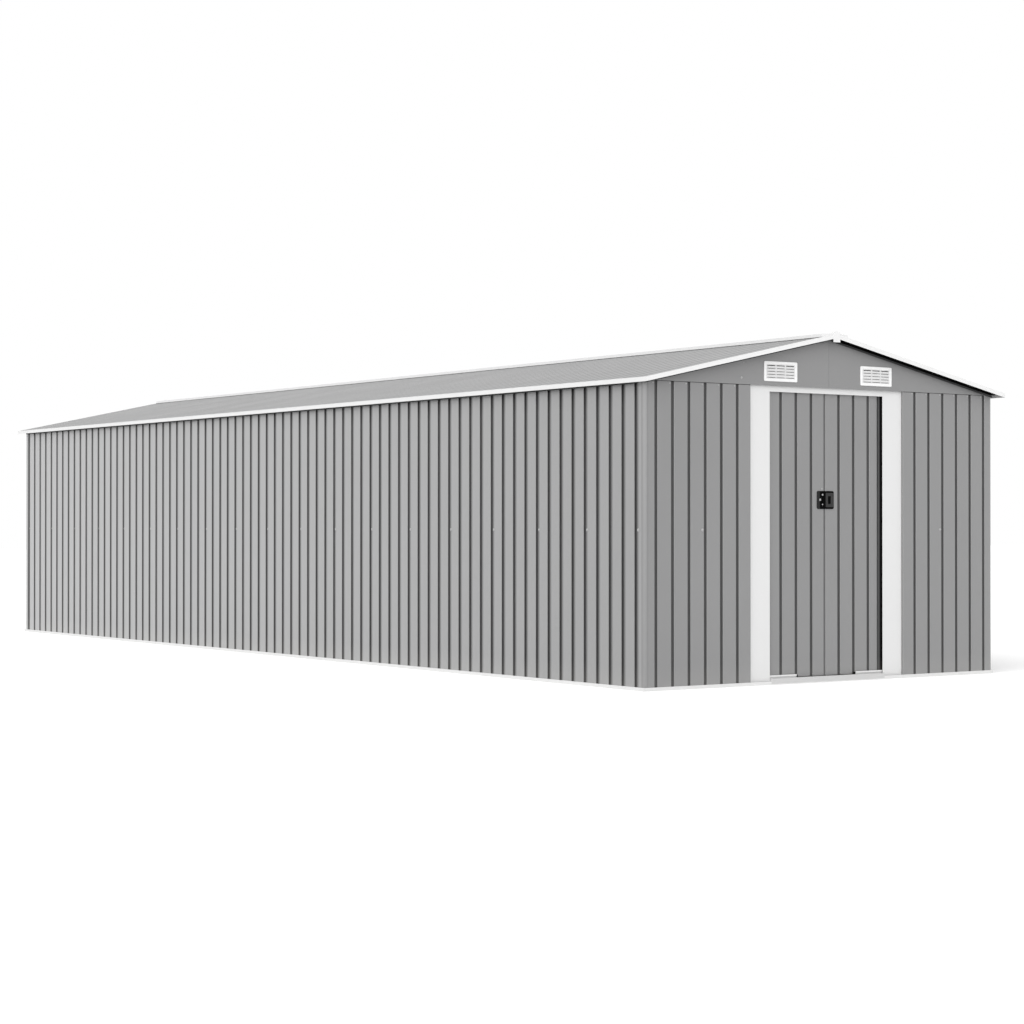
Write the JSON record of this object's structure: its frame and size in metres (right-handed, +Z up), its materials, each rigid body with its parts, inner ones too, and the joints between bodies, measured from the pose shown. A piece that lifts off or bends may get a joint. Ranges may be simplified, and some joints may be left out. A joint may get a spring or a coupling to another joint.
{
  "type": "metal storage shed",
  "caption": "Long ribbed steel garden storage shed with a low gable roof, white trims, louvre vents and a pair of sliding doors in one gable end.",
  "frame": {"origin": "centre of the footprint on the ground, under the middle of the roof", "axes": "+Z up, +Y along the ridge from the door gable to the rear gable, +X to the right seen from the door"},
  "size_m": [2.488, 7.756, 1.8065],
  "materials": {
    "grey_sheet": "satin grey coil coating",
    "roof_sheet": "satin grey coil coating",
    "galvanised_frame": "dull zinc",
    "white_trim": "satin white coil coating",
    "pale_sill": "satin pale grey",
    "white_plastic": "moulded white",
    "black_plastic": "moulded black"
  },
  "bodies": {
    "shed": {"base_rail_rear": "white_trim", "base_rails_front": "white_trim", "base_rails_side": "white_trim", "corner_panel_front_left": "grey_sheet", "corner_panel_front_right": "grey_sheet", "corner_panel_rear_left": "grey_sheet", "corner_panel_rear_right": "grey_sheet", "door_lintel": "white_trim", "door_post_left": "white_trim", "door_post_right": "white_trim", "door_sill": "pale_sill", "door_track": "galvanised_frame", "eave_trims": "white_trim", "front_gable": "grey_sheet", "front_vents": "white_plastic", "front_wall_left": "grey_sheet", "front_wall_right": "grey_sheet", "gable_rails": "galvanised_frame", "mid_rail_rear": "galvanised_frame", "mid_rails_front": "galvanised_frame", "mid_rails_side": "galvanised_frame", "rake_trims_front": "white_trim", "rake_trims_rear": "white_trim", "rear_gable": "grey_sheet", "rear_vents": "white_plastic", "rear_wall": "grey_sheet", "ridge_beam": "galvanised_frame", "ridge_cap": "white_trim", "ridge_ends": "white_trim", "roof_left": "roof_sheet", "roof_purlins": "galvanised_frame", "roof_right": "roof_sheet", "side_wall_left": "grey_sheet", "side_wall_right": "grey_sheet", "top_rail_rear": "galvanised_frame", "top_rails_front": "galvanised_frame", "top_rails_side": "galvanised_frame", "track_lips": "pale_sill"},
    "left_door": {"door_leaf_left": "grey_sheet", "door_pull_left": "black_plastic", "leaf_rails_left": "galvanised_frame", "leaf_runners_left": "black_plastic", "leaf_stile_left": "black_plastic"},
    "right_door": {"door_leaf_right": "grey_sheet", "door_pull_right": "black_plastic", "leaf_rails_right": "galvanised_frame", "leaf_runners_right": "black_plastic", "leaf_stile_right": "black_plastic"}
  },
  "joints": [
    {"name": "left_door_slide", "type": "slide", "parent": "shed", "child": "left_door", "axis": [-1, 0, 0], "range_m": [0, 0.325]},
    {"name": "right_door_slide", "type": "slide", "parent": "shed", "child": "right_door", "axis": [1, 0, 0], "range_m": [0, 0.325]}
  ]
}
